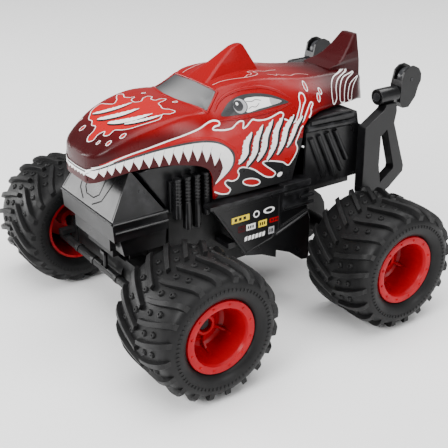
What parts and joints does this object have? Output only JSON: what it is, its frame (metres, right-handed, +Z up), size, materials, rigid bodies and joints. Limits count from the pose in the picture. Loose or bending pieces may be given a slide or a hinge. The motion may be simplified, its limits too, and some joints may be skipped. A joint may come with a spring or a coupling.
{
  "type": "radio controlled monster truck",
  "caption": "Toy monster truck with steering front wheels, a geared rear axle, a finned fish-like shell and a pair of wheelie rollers.",
  "frame": {"origin": "on the ground under the middle of the overall box", "axes": "+Z up, -Y towards the nose, +X towards the left side of the truck, wheel axles along X"},
  "size_m": [0.237, 0.2536, 0.1767],
  "materials": {
    "body_red": "glossy printed shell",
    "window_grey": "smooth opaque grey",
    "black_plastic": "satin moulded",
    "tyre_rubber": "matt moulded rubber",
    "rim_red": "semi gloss moulded",
    "steel": "plated",
    "white_nylon": "smooth",
    "brass": "machined",
    "battery_wrap": "shrink wrap",
    "board_green": "solder mask",
    "servo_case": "moulded"
  },
  "bodies": {
    "chassis": {"battery_door": "black_plastic", "battery_door_screw": "steel", "battery_pack": "battery_wrap", "body_screw_1": "steel", "body_screw_2": "steel", "body_screw_3": "steel", "body_screw_4": "steel", "body_shell": "body_red", "chassis_tub": "black_plastic", "circuit_board": "board_green", "drive_motor": "steel", "front_axle_beam": "black_plastic", "front_bumper": "black_plastic", "front_cowl": "black_plastic", "gearbox_case": "black_plastic", "gearbox_cover": "black_plastic", "headers_left": "black_plastic", "headers_right": "black_plastic", "kingpin_left": "steel", "kingpin_right": "steel", "rear_bed": "black_plastic", "roller_pin_left": "steel", "roller_pin_right": "steel", "sill_left": "black_plastic", "sill_right": "black_plastic", "steering_servo": "servo_case", "wheelie_fork_left": "black_plastic", "wheelie_fork_right": "black_plastic", "wheelie_frame_left": "black_plastic", "wheelie_frame_right": "black_plastic", "wheelie_screw_left": "steel", "wheelie_screw_right": "steel", "windscreen": "window_grey"},
    "knuckle_left": {"knuckle_left": "black_plastic"},
    "knuckle_right": {"knuckle_right": "black_plastic"},
    "tie_rod": {"tie_rod": "black_plastic"},
    "servo_horn": {"servo_horn": "white_nylon"},
    "wheel_front_left": {"tyre_front_left": "tyre_rubber", "rim_front_left": "rim_red", "wheel_nut_front_left": "steel"},
    "wheel_front_right": {"tyre_front_right": "tyre_rubber", "rim_front_right": "rim_red", "wheel_nut_front_right": "steel"},
    "rear_axle": {"rear_axle_shaft": "steel", "axle_gear": "white_nylon", "tyre_rear_left": "tyre_rubber", "rim_rear_left": "rim_red", "wheel_nut_rear_left": "steel", "tyre_rear_right": "tyre_rubber", "rim_rear_right": "rim_red", "wheel_nut_rear_right": "steel"},
    "motor_pinion": {"motor_pinion": "brass"},
    "wheelie_roller_left": {"wheelie_roller_left": "black_plastic"},
    "wheelie_roller_right": {"wheelie_roller_right": "black_plastic"},
    "power_switch": {"power_switch": "white_nylon"}
  },
  "joints": [
    {"name": "steer_left", "type": "hinge", "parent": "chassis", "child": "knuckle_left", "pos_m": [0.062, -0.08389, 0.0429], "axis": [0, 0, 1], "range_deg": [-22, 22]},
    {"name": "steer_right", "type": "hinge", "parent": "chassis", "child": "knuckle_right", "pos_m": [-0.062, -0.08389, 0.0429], "axis": [0, 0, 1], "range_deg": [-22, 22]},
    {"name": "tie_rod_swing", "type": "hinge", "parent": "knuckle_left", "child": "tie_rod", "pos_m": [0.062, -0.09739, 0.0414], "axis": [0, 0, 1], "range_deg": [-22, 22]},
    {"name": "servo_turn", "type": "hinge", "parent": "chassis", "child": "servo_horn", "pos_m": [0, -0.08389, 0.054], "axis": [0, 0, 1], "range_deg": [-22, 22]},
    {"name": "wheel_front_left_spin", "type": "hinge", "parent": "knuckle_left", "child": "wheel_front_left", "pos_m": [0.0894, -0.08389, 0.0429], "axis": [1, 0, 0], "continuous": true},
    {"name": "wheel_front_right_spin", "type": "hinge", "parent": "knuckle_right", "child": "wheel_front_right", "pos_m": [-0.0894, -0.08389, 0.0429], "axis": [1, 0, 0], "continuous": true},
    {"name": "rear_axle_spin", "type": "hinge", "parent": "chassis", "child": "rear_axle", "pos_m": [0, 0.06111, 0.0429], "axis": [1, 0, 0], "continuous": true},
    {"name": "motor_spin", "type": "hinge", "parent": "chassis", "child": "motor_pinion", "pos_m": [0, 0.04686, 0.05715], "axis": [1, 0, 0], "continuous": true},
    {"name": "wheelie_roller_left_spin", "type": "hinge", "parent": "chassis", "child": "wheelie_roller_left", "pos_m": [0.0472, 0.11761, 0.147], "axis": [1, 0, 0], "continuous": true},
    {"name": "wheelie_roller_right_spin", "type": "hinge", "parent": "chassis", "child": "wheelie_roller_right", "pos_m": [-0.0472, 0.11761, 0.147], "axis": [1, 0, 0], "continuous": true},
    {"name": "power_switch_slide", "type": "slide", "parent": "chassis", "child": "power_switch", "axis": [1, 0, 0], "range_m": [0, 0.0038]}
  ],
  "couplings": [
    {"joint": "steer_right", "follows": "steer_left", "ratio": 1},
    {"joint": "tie_rod_swing", "follows": "steer_left", "ratio": -1},
    {"joint": "servo_turn", "follows": "steer_left", "ratio": 1},
    {"joint": "motor_spin", "follows": "rear_axle_spin", "ratio": -4}
  ]
}
